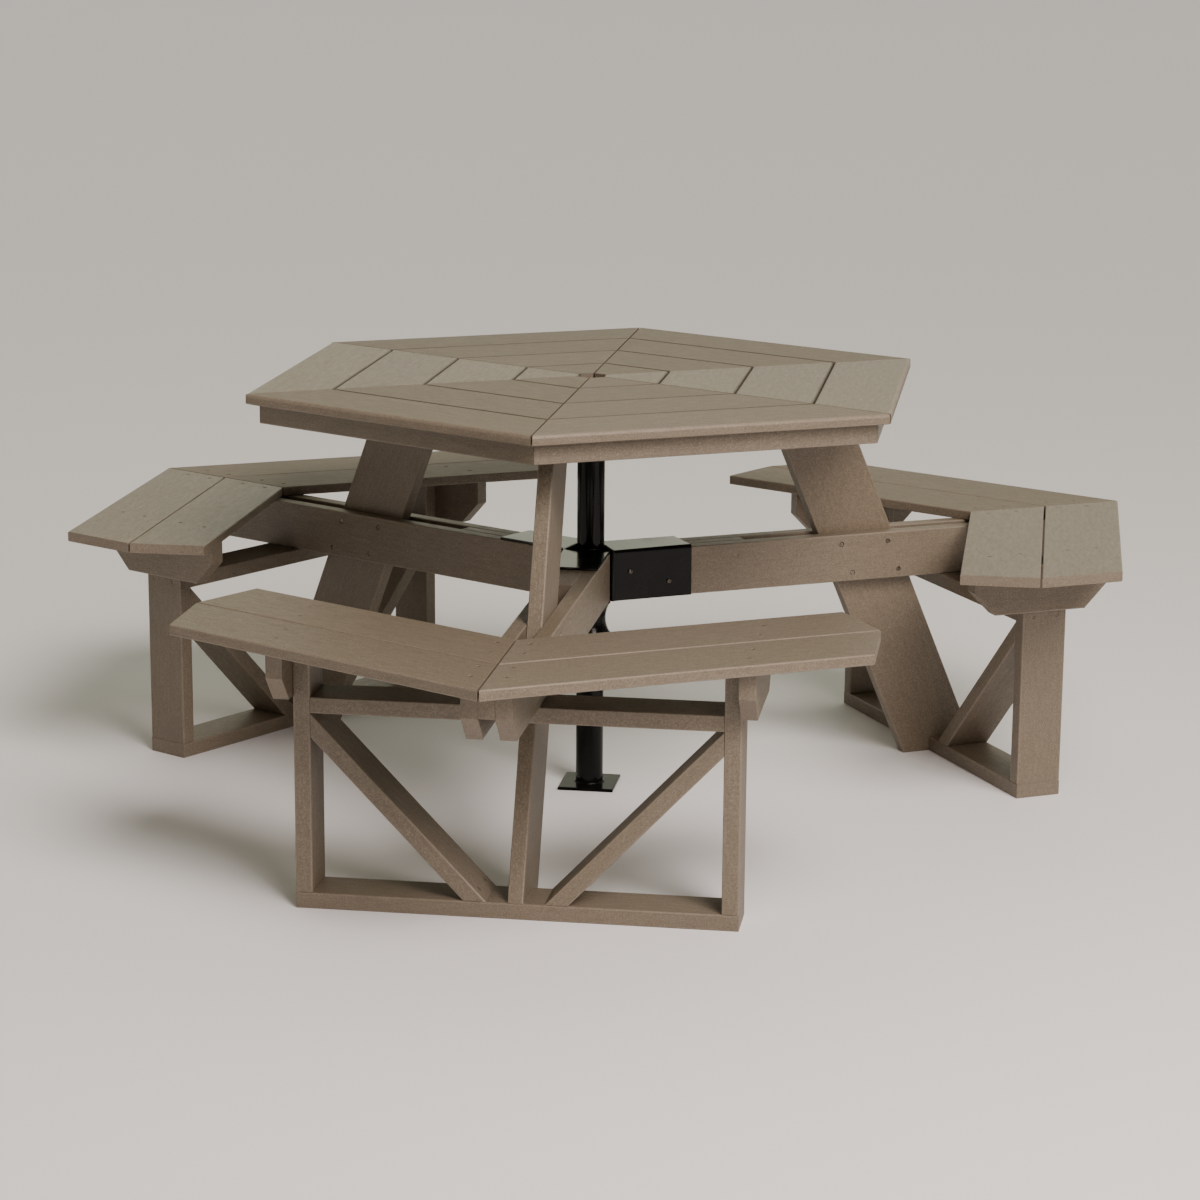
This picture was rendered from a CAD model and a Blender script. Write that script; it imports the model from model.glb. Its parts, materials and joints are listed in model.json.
"""Hexagonal picnic table in recycled-plastic lumber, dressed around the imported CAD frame."""

import json
import math
import random

import bmesh
import bpy
import numpy as np
from mathutils import Matrix, Vector


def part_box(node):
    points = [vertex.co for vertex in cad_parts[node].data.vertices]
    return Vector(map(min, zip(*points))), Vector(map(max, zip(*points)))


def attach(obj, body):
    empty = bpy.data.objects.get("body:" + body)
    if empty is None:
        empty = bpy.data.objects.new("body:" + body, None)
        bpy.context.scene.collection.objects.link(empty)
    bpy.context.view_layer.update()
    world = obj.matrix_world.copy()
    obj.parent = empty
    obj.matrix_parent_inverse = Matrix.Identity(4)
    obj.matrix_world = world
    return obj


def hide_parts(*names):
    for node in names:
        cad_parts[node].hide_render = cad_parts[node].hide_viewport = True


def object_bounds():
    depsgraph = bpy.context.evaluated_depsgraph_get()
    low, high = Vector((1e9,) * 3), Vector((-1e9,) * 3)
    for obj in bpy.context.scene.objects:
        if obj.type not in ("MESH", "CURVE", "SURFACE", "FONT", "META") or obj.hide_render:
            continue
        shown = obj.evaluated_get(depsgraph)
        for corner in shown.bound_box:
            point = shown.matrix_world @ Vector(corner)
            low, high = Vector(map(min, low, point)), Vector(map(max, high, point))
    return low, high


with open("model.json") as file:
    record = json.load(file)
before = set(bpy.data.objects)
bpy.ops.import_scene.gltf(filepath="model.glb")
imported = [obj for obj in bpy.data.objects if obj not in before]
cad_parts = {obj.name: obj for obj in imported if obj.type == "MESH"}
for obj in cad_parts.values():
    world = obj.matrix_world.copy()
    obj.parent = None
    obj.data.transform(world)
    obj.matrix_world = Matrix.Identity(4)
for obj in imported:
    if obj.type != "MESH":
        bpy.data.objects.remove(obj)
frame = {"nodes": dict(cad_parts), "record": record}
cad_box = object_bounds()
nodes = frame["nodes"]
random.seed(7)

MM = 0.001

# Distances within which two points are one, and two points of a fastener are level
SAME_POINT = 1e-6
SAME_LEVEL = 1e-5

# Cosines: two directions that count as square to each other, and as the same
SQUARE = 0.01
PARALLEL = 0.98


# ---------------------------------------------------------------- mesh helpers


def circle(bm, radius, height, segments):
    """A level circle of points round the table's axis."""
    made = []
    for k in range(segments):
        a = 2 * math.pi * k / segments
        made.append(bm.verts.new((radius * math.cos(a), radius * math.sin(a), height)))
    return made


def bridge(bm, first, second):
    """A band of faces between two loops with as many points each."""
    for k in range(len(first)):
        n = (k + 1) % len(first)
        bm.faces.new((first[k], first[n], second[n], second[k]))


def mesh_of(bm, name, material=None):
    """A mesh from a bmesh, which is freed."""
    mesh = bpy.data.meshes.new(name)
    bm.to_mesh(mesh)
    bm.free()
    if material:
        mesh.materials.append(material)
    return mesh


def show(made):
    """Link an object to the scene, and give it back."""
    bpy.context.scene.collection.objects.link(made)
    return made


# ---------------------------------------------------------------- materials

SURFACE = "Principled BSDF"

# Lumber: the two ends of a board's own tone, then its worn edges, sawn ends and dirty seams
TONE_LOW = (0.1470, 0.1150, 0.0810)
TONE_HIGH = (0.1710, 0.1350, 0.0960)
WORN = (0.2700, 0.2200, 0.1750)
SAWN = (0.2100, 0.1700, 0.1330)
DIRT = (0.0300, 0.0230, 0.0160)
SEAM_DIRT = 0.6
LUMBER_SPECULAR = 0.65
LUMBER_ANISOTROPY = 0.6

# Powder coat: clean, under dust, and where grit or an edge shows
COAT = (0.0030, 0.0030, 0.0032)
COAT_DUST = (0.0075, 0.0073, 0.0070)
COAT_GRIT = (0.0300, 0.0285, 0.0260)
COAT_EDGE = (0.0300, 0.0300, 0.0300)


def rgb(red, green, blue):
    """A colour as a socket takes it."""
    return (red, green, blue, 1)


class Graph:
    """Short calls for building the node tree of a material or a world."""

    def __init__(self, owner):
        owner.use_nodes = True
        self.owner = owner
        self.tree = owner.node_tree

    def fill(self, socket, value):
        """Link another node's output to a socket, or set the socket's own value."""
        if isinstance(value, bpy.types.NodeSocket):
            self.tree.links.new(value, socket)
        else:
            socket.default_value = value

    def node(self, kind, inputs=(), **settings):
        made = self.tree.nodes.new(kind)
        for key, value in settings.items():
            setattr(made, key, value)
        for key, value in dict(inputs).items():
            self.fill(made.inputs[key], value)
        return made

    def place(self, output):
        return self.node("ShaderNodeTexCoord").outputs[output]

    def attribute(self, name, output):
        return self.node("ShaderNodeAttribute", attribute_name=name).outputs[output]

    def stretched(self, vector, scale):
        made = self.node("ShaderNodeMapping", {"Vector": vector, "Scale": scale})
        return made.outputs["Vector"]

    def noise(self, vector, scale, detail=3.0, rough=0.5):
        made = self.node("ShaderNodeTexNoise", {
            "Vector": vector, "Scale": scale, "Detail": detail, "Roughness": rough})
        return made.outputs["Fac"]

    def band(self, value, low, high, out_low=0.0, out_high=1.0):
        """value taken linearly from [low, high] to [out_low, out_high], and clamped."""
        made = self.node("ShaderNodeMapRange", {
            "Value": value, "From Min": low, "From Max": high,
            "To Min": out_low, "To Max": out_high})
        return made.outputs["Result"]

    def times(self, a, b):
        return self.node("ShaderNodeMath", {0: a, 1: b}, operation="MULTIPLY").outputs[0]

    def mix(self, factor, a, b, blend="MIX"):
        """Colour b over colour a. Inputs 6 and 7, and output 2, are the Mix node's colours."""
        made = self.node("ShaderNodeMix", {0: factor}, data_type="RGBA", blend_type=blend)
        self.fill(made.inputs[6], a)
        self.fill(made.inputs[7], b)
        return made.outputs[2]

    def bump(self, height, strength, distance, normal=None):
        inputs = {"Height": height, "Strength": strength, "Distance": distance}
        if normal is not None:
            inputs["Normal"] = normal
        return self.node("ShaderNodeBump", inputs).outputs["Normal"]

    def plug(self, shader, **sockets):
        """Fill the shader's sockets, named with _ for a space, and give back the owner."""
        for name, value in sockets.items():
            self.fill(self.tree.nodes[shader].inputs[name.replace("_", " ")], value)
        return self.owner


def new_material(name):
    """The graph of a new material."""
    return Graph(bpy.data.materials.new(name))


def plain_material(name, colour, roughness):
    """One matt colour all over, for the floor."""
    return new_material(name).plug(SURFACE, Base_Color=rgb(*colour), Roughness=roughness)


def lumber_material():
    """Weathered taupe plastic lumber: a fine speckle, faint grain along the board, worn edges."""
    g = new_material("plastic_lumber")
    place = g.attribute("grain", "Vector")
    cloud = g.noise(place, 7.0, 3.0)
    mottle = g.noise(place, 150.0, 3.0, 0.6)
    streak = g.noise(g.stretched(place, (14.0, 420.0, 420.0)), 1.0, 4.0, 0.6)
    grain = g.noise(g.stretched(place, (30.0, 150.0, 150.0)), 1.0, 4.0, 0.65)
    speckle = g.noise(place, 430.0, 2.0, 0.7)
    fleck = g.noise(g.stretched(place, (150.0, 420.0, 420.0)), 1.0, 1.0)
    kerf = g.noise(g.stretched(place, (1.0, 30.0, 1300.0)), 1.0, 2.0)

    base = g.mix(g.attribute("tone", "Fac"), rgb(*TONE_LOW), rgb(*TONE_HIGH))
    # Each pattern, where it starts to show and is full, how strong it is then, and its colour
    for pattern, start, full, strength, colour in (
            (cloud, 0.35, 0.70, 0.30, (0.1400, 0.1150, 0.0820)),
            (streak, 0.45, 0.75, 0.36, (0.1120, 0.0840, 0.0580)),
            (grain, 0.52, 0.72, 0.26, (0.1050, 0.0790, 0.0540)),
            (grain, 0.48, 0.30, 0.20, (0.2300, 0.1850, 0.1370)),
            (mottle, 0.52, 0.72, 0.26, (0.1020, 0.0770, 0.0540)),
            (mottle, 0.46, 0.28, 0.18, (0.2350, 0.1900, 0.1500)),
            (speckle, 0.52, 0.66, 0.42, (0.0700, 0.0500, 0.0330)),
            (speckle, 0.47, 0.33, 0.42, (0.3100, 0.2560, 0.1920)),
            (fleck, 0.68, 0.76, 0.45, (0.0560, 0.0420, 0.0310))):
        base = g.mix(g.band(pattern, start, full, 0.0, strength), base, rgb(*colour))
    worn = g.times(g.attribute("edge", "Fac"), g.band(mottle, 0.35, 0.65, 0.15, 0.50))
    base = g.mix(worn, base, rgb(*WORN))
    sawn = g.times(g.attribute("cut", "Fac"), g.band(kerf, 0.35, 0.70, 0.05, 0.40))
    base = g.mix(sawn, base, rgb(*SAWN))
    base = g.mix(g.times(g.attribute("seam", "Fac"), SEAM_DIRT), base, rgb(*DIRT))

    normal = None
    # Each pattern, with the strength and height of its relief
    for pattern, strength, height in (
            (grain, 0.30, 1.4 * MM), (mottle, 0.20, 1.2 * MM), (speckle, 0.55, 0.7 * MM),
            (streak, 0.40, 0.7 * MM), (sawn, 0.50, 0.5 * MM)):
        normal = g.bump(pattern, strength, height, normal)
    return g.plug(SURFACE, Base_Color=base, Roughness=g.band(grain, 0.3, 0.7, 0.47, 0.59),
                  Normal=normal, Specular_IOR_Level=LUMBER_SPECULAR,
                  Anisotropic=LUMBER_ANISOTROPY, Tangent=g.attribute("across", "Vector"))


def coated_steel_material(name, specular):
    """Glossy black powder coat: a slight orange peel, dust in the open, edges rubbed a little."""
    g = new_material(name)
    place = g.place("Object")
    peel = g.noise(place, 420.0, 2.0)
    dust = g.noise(place, 16.0, 4.0)
    grit = g.noise(place, 700.0, 1.0)
    rubbed = g.times(g.attribute("edge", "Fac"), g.band(dust, 0.5, 0.8, 0.0, 0.3))
    base = g.mix(g.band(dust, 0.45, 0.75), rgb(*COAT), rgb(*COAT_DUST))
    base = g.mix(g.band(grit, 0.68, 0.78, 0.0, 0.6), base, rgb(*COAT_GRIT))
    base = g.mix(rubbed, base, rgb(*COAT_EDGE))
    return g.plug(SURFACE, Base_Color=base, Roughness=g.band(dust, 0.3, 0.8, 0.09, 0.22),
                  Normal=g.bump(peel, 0.10, 0.4 * MM), Specular_IOR_Level=specular)


def zinc_material(name, bright, dull, smooth, rough):
    """Zinc-plated steel, dulled in patches."""
    g = new_material(name)
    patch = g.noise(g.place("Object"), 900.0, 3.0)
    base = g.mix(g.band(patch, 0.35, 0.7), rgb(*bright), rgb(*dull))
    return g.plug(SURFACE, Base_Color=base, Metallic=1.0,
                  Roughness=g.band(patch, 0.3, 0.7, smooth, rough),
                  Normal=g.bump(patch, 0.1, 0.2 * MM))


# ---------------------------------------------------------------- camera, stage and light

# The photograph's viewpoint: where the camera stands, which way it looks, and its lens
CAMERA_PLACE = (0.8196, -5.3995, 1.6065)
CAMERA_AZIMUTH = 8.447
CAMERA_PITCH = 12.971
CAMERA_ROLL = 0.388
CAMERA_LENS = 92.19
CAMERA_SENSOR = 36.0

# The sun: the direction that it stands in, its strength, its colour and its width in degrees
SUN_DIRECTION = (0.75, -0.85, 1.15)
SUN_STRENGTH = 1.8
SUN_COLOUR = (1.0, 0.90, 0.83)
SUN_WIDTH = 25

# The softbox: the point that it faces, where it stands from there, its size, power and colour
SOFTBOX_TARGET = Vector((0, 0, 0.4))
SOFTBOX_AZIMUTH = 35
SOFTBOX_ELEVATION = 38
SOFTBOX_DISTANCE = 4.5
SOFTBOX_WIDTH = 1.8
SOFTBOX_HEIGHT = 3.2
SOFTBOX_POWER = 168
SOFTBOX_COLOUR = (1.0, 0.88, 0.78)

# The studio: its dark, then the direction and colour of each lit side
STUDIO_DARK = (0.012, 0.012, 0.011)
STUDIO_SIDES = (
    ((0, 1, 0), (1.18, 1.19, 0.93)),
    ((-1, 0, 0), (0.20, 0.15, 0.09)),
)

# The floor: its paint, its flat middle, and the curve that sweeps up to its rim
FLOOR_PAINT = (0.90, 0.90, 0.94)
FLOOR_ROUGHNESS = 0.9
FLOOR_MIDDLE = 7.5
FLOOR_RADIUS = 60.0
SWEEP_RADIUS = 6.0
SWEEP_HEIGHT = 8.0
SWEEP_STEPS = 8
SWEEP_SEGMENTS = 96


def make_camera():
    """The camera at the photograph's viewing angle."""
    camera = bpy.data.objects.new("camera", bpy.data.cameras.new("camera"))
    camera.data.sensor_width = CAMERA_SENSOR
    camera.data.lens = CAMERA_LENS
    turn = Matrix.Rotation(math.radians(CAMERA_AZIMUTH), 4, "Z")
    tilt = Matrix.Rotation(math.radians(90 - CAMERA_PITCH), 4, "X")
    roll = Matrix.Rotation(math.radians(CAMERA_ROLL), 4, "Z")
    camera.matrix_world = Matrix.Translation(CAMERA_PLACE) @ turn @ tilt @ roll
    bpy.context.scene.camera = show(camera)


def aim(light, direction):
    """Point a lamp back along the direction that its light comes from."""
    light.rotation_euler = Vector(direction).to_track_quat("Z", "Y").to_euler()
    show(light)


def make_sun():
    """Warm, even and soft, from the front right: it keeps the floor pale all over."""
    sun = bpy.data.objects.new("sun", bpy.data.lights.new("sun", "SUN"))
    sun.data.energy = SUN_STRENGTH
    sun.data.color = SUN_COLOUR
    sun.data.angle = math.radians(SUN_WIDTH)
    aim(sun, SUN_DIRECTION)


def make_softbox():
    """A tall softbox at the front right, near enough to fall off across the table."""
    box = bpy.data.objects.new("softbox", bpy.data.lights.new("softbox", "AREA"))
    box.data.shape = "RECTANGLE"
    box.data.size = SOFTBOX_WIDTH
    box.data.size_y = SOFTBOX_HEIGHT
    box.data.energy = SOFTBOX_POWER
    box.data.color = SOFTBOX_COLOUR
    azimuth = math.radians(SOFTBOX_AZIMUTH)
    elevation = math.radians(SOFTBOX_ELEVATION)
    level = math.cos(elevation)
    away = Vector((math.sin(azimuth) * level, -math.cos(azimuth) * level, math.sin(elevation)))
    box.location = SOFTBOX_TARGET + away * SOFTBOX_DISTANCE
    aim(box, away)


def make_studio():
    """A studio that is bright behind the table, dim at its left and dark elsewhere."""
    world = bpy.data.worlds.new("studio")
    g = Graph(world)
    place = g.place("Generated")
    light = None
    for direction, colour in STUDIO_SIDES:
        facing = g.node("ShaderNodeVectorMath", {0: place, 1: direction},
                        operation="DOT_PRODUCT").outputs["Value"]
        side = g.mix(facing, rgb(*STUDIO_DARK), rgb(*colour))
        light = g.mix(1.0, light, side, "ADD") if light else side
    bpy.context.scene.world = g.plug("Background", Color=light)


def make_floor():
    """A plain pale floor that sweeps up into a low wall all round, far behind the table."""
    outline = [(FLOOR_MIDDLE, 0), (FLOOR_RADIUS - SWEEP_RADIUS, 0)]
    for step in range(1, SWEEP_STEPS + 1):
        a = math.radians(90 * step / SWEEP_STEPS)
        outline.append((FLOOR_RADIUS - SWEEP_RADIUS * (1 - math.sin(a)),
                        SWEEP_RADIUS * (1 - math.cos(a))))
    outline.append((FLOOR_RADIUS, SWEEP_HEIGHT))
    bm = bmesh.new()
    loops = [circle(bm, radius, height, SWEEP_SEGMENTS) for radius, height in outline]
    bm.faces.new(loops[0])
    for first, second in zip(loops, loops[1:]):
        bridge(bm, second, first)
    paint = plain_material("floor_paint", FLOOR_PAINT, FLOOR_ROUGHNESS)
    floor = show(bpy.data.objects.new("floor", mesh_of(bm, "floor", paint)))
    floor.data.shade_smooth()
    floor.location.z = cad_box[0].z


# ---------------------------------------------------------------- reading the frame


def solids(node):
    """The separate solids of a CAD node, each as an array of its corner points."""
    bm = bmesh.new()
    bm.from_mesh(nodes[node].data)
    bmesh.ops.remove_doubles(bm, verts=bm.verts, dist=SAME_POINT)
    found = []
    # A dict keeps its order, which a set of mesh parts doesn't, so that every run is the same
    left = dict.fromkeys(bm.verts)
    while left:
        stack = [left.popitem()[0]]
        part = []
        while stack:
            v = stack.pop()
            part.append(v.co.copy())
            for e in v.link_edges:
                other = e.other_vert(v)
                if other in left:
                    del left[other]
                    stack.append(other)
        found.append(np.array(part))
    bm.free()
    return found


def fasteners(node, ends=1):
    """Head centre, direction inwards, head radius and length of each fastener in a CAD node.

    A screw has its head at its wide end. A bolt, with two ends, has a head at each.
    """
    found = []
    for points in solids(node):
        middle = points.mean(axis=0)
        _, _, rows = np.linalg.svd(points - middle)
        along = (points - middle) @ rows[0]
        tips = []
        for sign in (1, -1):
            end = points[sign * along > (sign * along).max() - SAME_LEVEL]
            centre = end.mean(axis=0)
            tips.append((float(np.linalg.norm(end - centre, axis=1).max()), Vector(centre)))
        tips.sort(key=lambda tip: -tip[0])
        (radius, head), (_, tail) = tips
        length = (tail - head).length
        found.append((head, (tail - head) / length, radius, length / ends))
        if ends == 2:
            found.append((tail, (head - tail) / length, radius, length / ends))
    return found


def profile(node):
    """The bore's radius and the outside (radius, height) points of a turned CAD node."""
    points = {(round(math.hypot(v.co.x, v.co.y), 5), round(v.co.z, 5))
              for v in nodes[node].data.vertices}
    bore = min(r for r, _ in points)
    outside = sorted((p for p in points if p[0] > bore + 1 * MM), key=lambda p: p[1])
    return bore, outside


# ---------------------------------------------------------------- finishing a piece


def scratch_object(bm, name):
    """A temporary object that holds a mesh for the modifiers to work on."""
    return show(bpy.data.objects.new(name, mesh_of(bm, name)))


def add_bevel(made, width, segments):
    """Round the edges by their weight times a width."""
    bevel = made.modifiers.new("edges", "BEVEL")
    bevel.width = width
    bevel.segments = segments
    bevel.limit_method = "WEIGHT"
    return bevel


def finished_mesh(made, material):
    """The object's mesh with its modifiers applied. The object goes away."""
    bpy.context.view_layer.update()
    graph = bpy.context.evaluated_depsgraph_get()
    mesh = bpy.data.meshes.new_from_object(made.evaluated_get(graph))
    bpy.data.objects.remove(made)
    mesh.materials.clear()
    mesh.materials.append(material)
    return mesh


def join(name, meshes, sharp=40):
    """One object from several meshes, whose flat faces stay flat across rounded edges."""
    objects = [show(bpy.data.objects.new(name, mesh)) for mesh in meshes]
    whole = objects[0]
    if len(objects) > 1:
        with bpy.context.temp_override(active_object=whole, selected_editable_objects=objects):
            bpy.ops.object.join()
    whole.name = name
    whole.data.shade_smooth()
    whole.data.set_sharp_from_angle(angle=math.radians(sharp))
    flat = whole.modifiers.new("flat_faces", "WEIGHTED_NORMAL")
    flat.keep_sharp = True
    return whole


def put(piece, slot, *replaced):
    """Ride a piece on the table and let it stand for its CAD nodes."""
    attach(piece, "root")
    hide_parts(*replaced)


def closed_piece(bm, name, material, slot, node, sharp):
    """A piece from the closed surfaces in a bmesh, which is freed."""
    bmesh.ops.recalc_face_normals(bm, faces=bm.faces)
    put(join(name, [mesh_of(bm, name, material)], sharp), slot, node)


# ---------------------------------------------------------------- lumber

MOULDED_EDGE = 2.6 * MM
SAWN_EDGE = 0.9 * MM
NOSING = 6.0 * MM
EDGE_STEPS = 3
PIT_FLARE = 0.20
PIT_SEGMENTS = 20
NEARBY = 2 * MM
GRAIN_SHIFT = 9

# Cosines to the board's directions: an end's is more along it, a side's is less, and a flat
# face has this much of one of them
END_FACING = 0.3
SIDE_FACING = 0.2
FLAT_FACING = 0.999

top_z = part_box("tabletop_sector_1")[1].z
rim = max(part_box(f"tabletop_sector_{k}")[1].x for k in range(1, 7))


def direction_of(e):
    """The direction that an edge runs in."""
    return (e.verts[1].co - e.verts[0].co).normalized()


def on_rim(e):
    """Whether an edge runs along the tabletop's upper outer rim."""
    middle = (e.verts[0].co + e.verts[1].co) / 2
    flat = Vector((middle.x, middle.y, 0))
    return (middle.z > top_z - 0.1 * MM and abs(flat.length - rim) < 1 * MM
            and abs(direction_of(e).dot(flat.normalized())) < SQUARE)


def hull_mesh(points):
    """A closed mesh of flat faces around the points."""
    bm = bmesh.new()
    for p in points:
        bm.verts.new(p)
    made = bmesh.ops.convex_hull(bm, input=bm.verts)
    spare = made["geom_interior"] + made["geom_unused"]
    inside = dict.fromkeys(v for v in spare if isinstance(v, bmesh.types.BMVert))
    bmesh.ops.delete(bm, geom=list(inside), context="VERTS")
    bmesh.ops.dissolve_limit(bm, angle_limit=math.radians(1), verts=bm.verts, edges=bm.edges)
    bmesh.ops.recalc_face_normals(bm, faces=bm.faces)
    return bm


def board_axes(bm):
    """Directions along a board, across its widest face, and through it, as rows."""
    along = direction_of(max(bm.edges, key=lambda e: e.calc_length()))
    through = max(bm.faces, key=lambda f: f.calc_area()).normal.copy()
    return np.array((along, through.cross(along), through))


def board(bm, axes, nosed):
    """One board with moulded long edges and sawn ends."""
    weight = bm.edges.layers.float.new("bevel_weight_edge")
    for e in bm.edges:
        moulded = abs(direction_of(e).dot(Vector(axes[0]))) > PARALLEL
        size = MOULDED_EDGE if moulded else SAWN_EDGE
        e[weight] = (NOSING if nosed and nosed(e) else size) / NOSING
    made = scratch_object(bm, "board")
    add_bevel(made, NOSING, EDGE_STEPS)
    return made


def pit_cutter(pits):
    """The flared pits that the fasteners' heads sit in."""
    bm = bmesh.new()
    for centre, inward, radius, depth in pits:
        turn = (-inward).to_track_quat("Z", "Y").to_matrix().to_4x4()
        bmesh.ops.create_cone(bm, cap_ends=True, segments=PIT_SEGMENTS,
                              radius1=radius * (1 - PIT_FLARE), radius2=radius * (1 + PIT_FLARE),
                              depth=2 * depth, matrix=Matrix.Translation(centre) @ turn)
    return scratch_object(bm, "pits")


def subtract(made, cutter):
    """Cut one object out of another when its modifiers are applied."""
    cut = made.modifiers.new("cut", "BOOLEAN")
    cut.object = cutter
    cut.operation = "DIFFERENCE"
    cut.solver = "EXACT"


def near(point, points):
    """Whether a point lies in the box around the points, or just outside it."""
    p = np.array(point)
    low, high = points.min(axis=0) - NEARBY, points.max(axis=0) + NEARBY
    return bool((p > low).all() and (p < high).all())


def read(items, key):
    """One vector of every vertex or face of a mesh, as rows."""
    values = np.empty(len(items) * 3)
    items.foreach_get(key, values)
    return values.reshape(-1, 3)


def paint_board(mesh, axes, centre, reach):
    """The attributes that the lumber material reads.

    grain is the place in the board's own directions, shifted so that no two boards match;
    across is the direction over the grain; tone is the board's shade; edge is 1 on rounded
    edges, seam is 1 instead where dirt gathers between two boards of the tabletop, within
    the given reach from its middle, and cut is 1 on sawn ends.
    """
    shift = np.array([random.uniform(-GRAIN_SHIFT, GRAIN_SHIFT) for _ in range(3)])
    grain = (read(mesh.vertices, "co") - centre) @ axes.T + shift
    facing = np.abs(read(mesh.polygons, "normal") @ axes.T)
    rounded = (facing.max(axis=1) < FLAT_FACING) & (facing[:, 0] < SIDE_FACING)
    seam = rounded & (np.abs(read(mesh.polygons, "center") @ axes[1]) < reach)
    for name, kind, domain, key, values in (
            ("grain", "FLOAT_VECTOR", "POINT", "vector", grain.ravel()),
            ("across", "FLOAT_VECTOR", "POINT", "vector", np.tile(axes[1], len(grain))),
            ("tone", "FLOAT", "FACE", "value", np.full(len(facing), random.random())),
            ("edge", "FLOAT", "FACE", "value", rounded & ~seam),
            ("seam", "FLOAT", "FACE", "value", seam),
            ("cut", "FLOAT", "FACE", "value", facing[:, 0] > END_FACING)):
        layer = mesh.attributes.new(name, kind, domain)
        layer.data.foreach_set(key, np.asarray(values, dtype=np.float32))


def lumber_piece(node, material, pits, nosed=None, notch=None):
    """A CAD node's boards with their edges, screw pits and grain."""
    meshes = []
    for points in solids(node):
        bm = hull_mesh(points)
        axes = board_axes(bm)
        made = board(bm, axes, nosed)
        cutters = []
        sunk = [pit for pit in pits if near(pit[0], points)]
        if sunk:
            cutters.append(pit_cutter(sunk))
        if notch:
            cutters.append(scratch_object(hull_mesh(solids(notch)[0]), "notch"))
        for cutter in cutters:
            subtract(made, cutter)
        mesh = finished_mesh(made, material)
        for cutter in cutters:
            bpy.data.objects.remove(cutter)
        paint_board(mesh, axes, points.mean(axis=0), rim - 2 * NOSING if nosed else 0.0)
        meshes.append(mesh)
    put(join(node + "_boards", meshes), "lumber", node)


# ---------------------------------------------------------------- fasteners

# How far a head sits below the wood, the depth of its pit, and its radius over the CAD head's
SCREW_SINK, SCREW_PIT, SCREW_FACE = 0.8 * MM, 2.0 * MM, 0.84
BOLT_SINK, BOLT_PIT, BOLT_FACE = 1.2 * MM, 3.2 * MM, 0.62

HEAD_SEGMENTS = 24
LOBES = 6
DOME_RISE = 0.9 * MM
RIM_DEPTH = 0.5 * MM
RECESS_DEPTH = 1.7 * MM
HEAD_DEPTH = 2.8 * MM
NECK_DEPTH = 3.0 * MM


def ring(bm, place, radius, depth, lobes=0.0):
    """A ring of points at a depth below the head, with six lobes where a bit fits."""
    made = []
    for k in range(HEAD_SEGMENTS):
        a = 2 * math.pi * k / HEAD_SEGMENTS
        r = radius * (1 + lobes * math.cos(LOBES * a))
        made.append(bm.verts.new(place @ Vector((r * math.cos(a), r * math.sin(a), -depth))))
    return made


def add_fastener(bm, fastener, sink, domed):
    """A head with a six-lobe recess, and its shank, from the middle of the recess outwards."""
    head, inward, radius, length = fastener
    turn = (-inward).to_track_quat("Z", "Y").to_matrix().to_4x4()
    place = Matrix.Translation(head + inward * sink) @ turn
    rise = DOME_RISE if domed else 0.0
    rings = [
        ring(bm, place, radius * 0.40, RECESS_DEPTH, 0.10),
        ring(bm, place, radius * 0.46, 0.0, 0.12),
        ring(bm, place, radius * 0.74, rise * 0.25),
        ring(bm, place, radius * 0.94, rise * 0.75),
        ring(bm, place, radius, rise + RIM_DEPTH),
        ring(bm, place, radius * (0.99 if domed else 0.56), HEAD_DEPTH),
        ring(bm, place, radius * 0.55, NECK_DEPTH),
        ring(bm, place, radius * 0.50, length - sink),
    ]
    bm.faces.new(rings[0])
    for first, second in zip(rings, rings[1:]):
        bridge(bm, first, second)
    bm.faces.new(rings[-1][::-1])


def narrowed(found, share):
    """The same fasteners with heads of a share of their radius."""
    return [(head, inward, radius * share, length) for head, inward, radius, length in found]


def fastener_piece(name, node, material, found, sink, domed=False):
    """All fasteners of one kind, as one piece."""
    bm = bmesh.new()
    for fastener in found:
        add_fastener(bm, fastener, sink, domed)
    closed_piece(bm, name, material, "zinc", node, sharp=50)


# ---------------------------------------------------------------- steel

# Plates: the rounding of a fold and of the other edges, and which edges and sides count
FOLD = 7.0 * MM
FOLD_STEPS = 5
PLATE_EDGE = 1.8 * MM
PLATE_CORNER = 40
SHORT_EDGE = 12.0 * MM
SIDE_AREA = 0.005
LEVEL = 0.99

TURNED_EDGE = 0.7 * MM
TURNED_SEGMENTS = 96

# Welds: the bead, its ripples, its slower swell, and how far the hub's is below its top
WELD_RADIUS = 3.0 * MM
WELD_SECTION = 10
WELD_RIPPLES = 46
RIPPLE_SHARE = 0.10
SWELL_SHARE = 0.06
SWELLS = 3
WEB_RISE = 10.0 * MM


def on_fold(e):
    """Whether an edge is where a hub plate is folded down the side of a beam."""
    top, side = sorted(e.link_faces, key=lambda f: -f.normal.z)
    return top.normal.z > LEVEL and abs(side.normal.z) < SQUARE and side.calc_area() > SIDE_AREA


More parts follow.
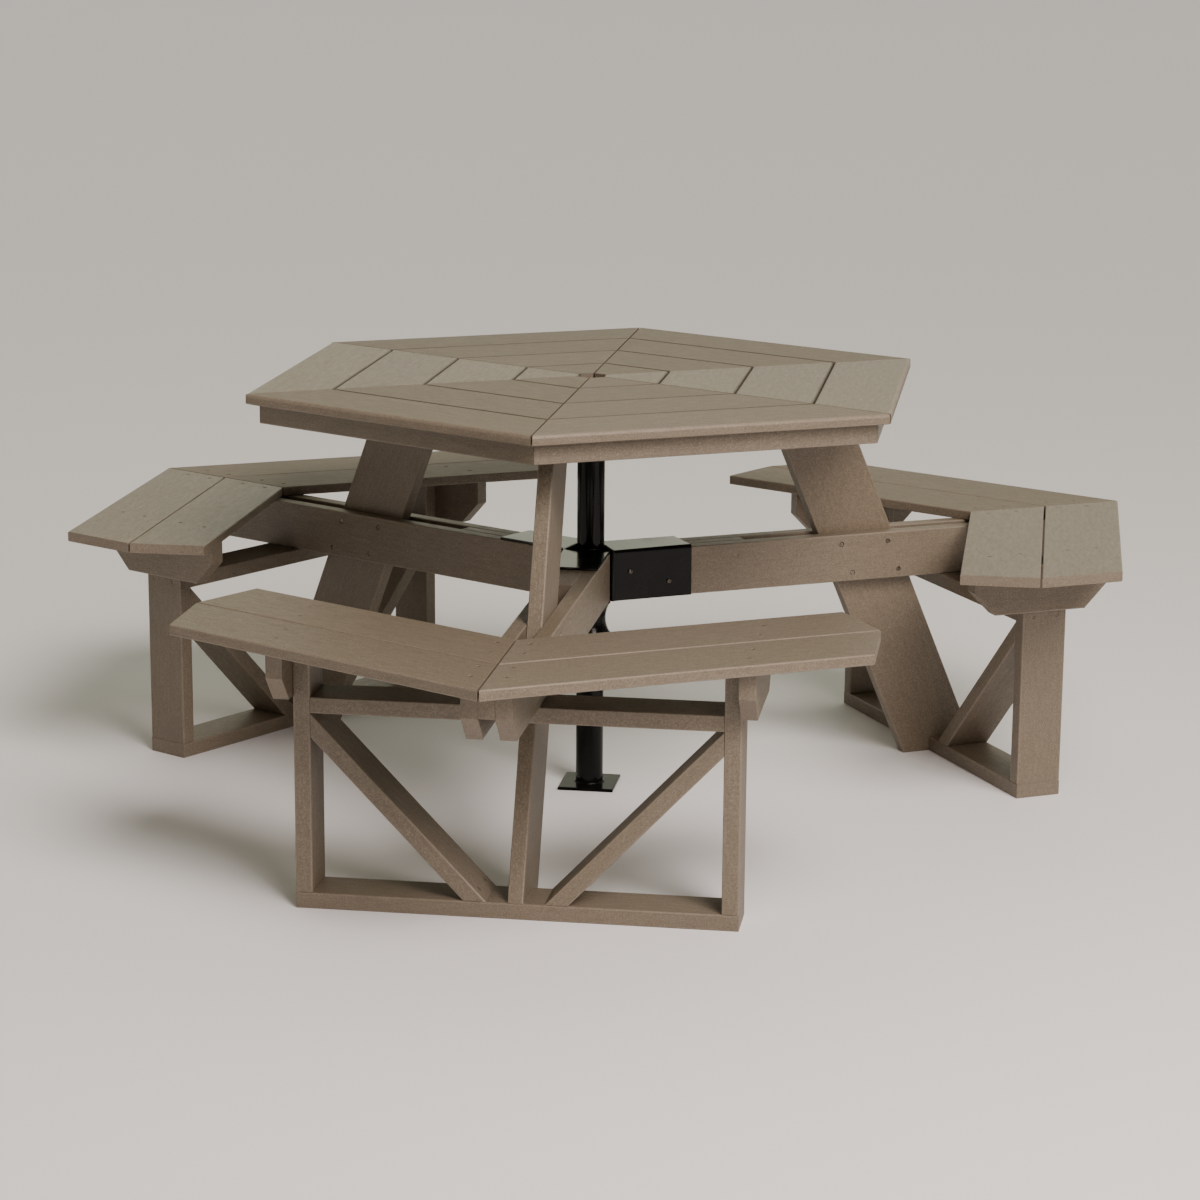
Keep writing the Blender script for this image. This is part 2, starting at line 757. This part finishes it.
def plate_piece(node, material, folded=None):
    """Plates with their folds and edges rounded."""
    bm = bmesh.new()
    bm.from_mesh(nodes[node].data)
    bmesh.ops.remove_doubles(bm, verts=bm.verts, dist=SAME_POINT)
    bmesh.ops.dissolve_limit(bm, angle_limit=math.radians(1), verts=bm.verts, edges=bm.edges)
    weight = bm.edges.layers.float.new("bevel_weight_edge")
    for e in bm.edges:
        if len(e.link_faces) != 2 or e.calc_length() < SHORT_EDGE:
            continue
        if e.calc_face_angle_signed(0.0) > math.radians(PLATE_CORNER):
            e[weight] = (FOLD if folded and folded(e) else PLATE_EDGE) / FOLD
    made = scratch_object(bm, node)
    add_bevel(made, FOLD, FOLD_STEPS).use_clamp_overlap = False
    put(join(node + "_plates", [finished_mesh(made, material)]), "coated_steel", node)


def lathe(node, material):
    """A turned CAD node again, with a finer round and its rims eased."""
    bore, outside = profile(node)
    (low_r, low), (high_r, high) = outside[0], outside[-1]
    outline = [(low_r - TURNED_EDGE, low), (low_r, low + TURNED_EDGE)]
    outline += outside[1:-1]
    outline += [(high_r, high - TURNED_EDGE), (high_r - TURNED_EDGE, high),
                (bore + TURNED_EDGE, high), (bore, high - TURNED_EDGE),
                (bore, low + TURNED_EDGE), (bore + TURNED_EDGE, low)]
    bm = bmesh.new()
    loops = [circle(bm, radius, height, TURNED_SEGMENTS) for radius, height in outline]
    for first, second in zip(loops, loops[1:] + loops[:1]):
        bridge(bm, first, second)
    closed_piece(bm, node + "_turned", material, "coated_steel", node, sharp=50)


def weld_piece(name, height, radius, material, node):
    """A fillet weld round the tube, with the ripples that the torch leaves."""
    bm = bmesh.new()
    around = 4 * WELD_RIPPLES
    loops = []
    for i in range(around):
        a = 2 * math.pi * i / around
        ripple = (1 + RIPPLE_SHARE * abs(math.sin(WELD_RIPPLES * a / 2))
                  + SWELL_SHARE * math.sin(SWELLS * a))
        loop = []
        for j in range(WELD_SECTION):
            b = 2 * math.pi * j / WELD_SECTION
            r = radius + WELD_RADIUS * ripple * math.cos(b)
            z = height + WELD_RADIUS * ripple * math.sin(b)
            loop.append(bm.verts.new((r * math.cos(a), r * math.sin(a), z)))
        loops.append(loop)
    for first, second in zip(loops, loops[1:] + loops[:1]):
        bridge(bm, first, second)
    closed_piece(bm, name, material, "coated_steel", node, sharp=60)


# ---------------------------------------------------------------- the table

# How far from the table's axis the hub's own screws go
HUB_REACH = 0.19

make_camera()
make_sun()
make_softbox()
make_studio()
make_floor()

lumber = lumber_material()
coat = coated_steel_material("black_powder_coat", 0.16)
floor_coat = coated_steel_material("scuffed_powder_coat", 0.04)
blackened = zinc_material("blackened_zinc", (0.16, 0.14, 0.12), (0.06, 0.05, 0.04), 0.14, 0.30)
stained = zinc_material("stained_zinc", (0.34, 0.28, 0.22), (0.17, 0.13, 0.10), 0.35, 0.55)
bright = zinc_material("bright_zinc", (0.50, 0.45, 0.39), (0.22, 0.19, 0.15), 0.22, 0.42)

hub_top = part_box("hub")[1].z
screws = fasteners("wood_screws")
bolts = fasteners("leg_bolts", ends=2)
on_hub = [s for s in screws if Vector(s[0][:2]).length < HUB_REACH and s[0].z < hub_top]
in_wood = [s for s in screws if s not in on_hub]
pits = [(head, inward, radius, SCREW_PIT) for head, inward, radius, _ in in_wood]
pits += [(head, inward, radius, BOLT_PIT) for head, inward, radius, _ in bolts]

slots = {s["node"]: s["material_slot"] for s in frame["record"]["subparts"]}
for node in sorted(slots):
    if slots[node] != "lumber":
        continue
    nosed = on_rim if node.startswith("tabletop") else None
    notch = node.replace("leg", "bottom_rail") if node.endswith("_leg") else None
    lumber_piece(node, lumber, pits, nosed, notch)

fastener_piece("seat_and_frame_screws", "wood_screws", stained,
               narrowed(in_wood, SCREW_FACE), SCREW_SINK)
fastener_piece("hub_screws", "wood_screws", blackened, on_hub, 0.0, domed=True)
fastener_piece("leg_bolt_heads", "leg_bolts", bright, narrowed(bolts, BOLT_FACE), BOLT_SINK)

plate_piece("hub", coat, on_fold)
plate_piece("base_plate", floor_coat)
lathe("umbrella_tube", coat)
lathe("tube_collar", coat)
tube_low, tube_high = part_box("umbrella_tube")
weld_piece("hub_weld", hub_top - WEB_RISE, tube_high.x, coat, "hub")
weld_piece("base_weld", tube_low.z, tube_high.x, coat, "base_plate")
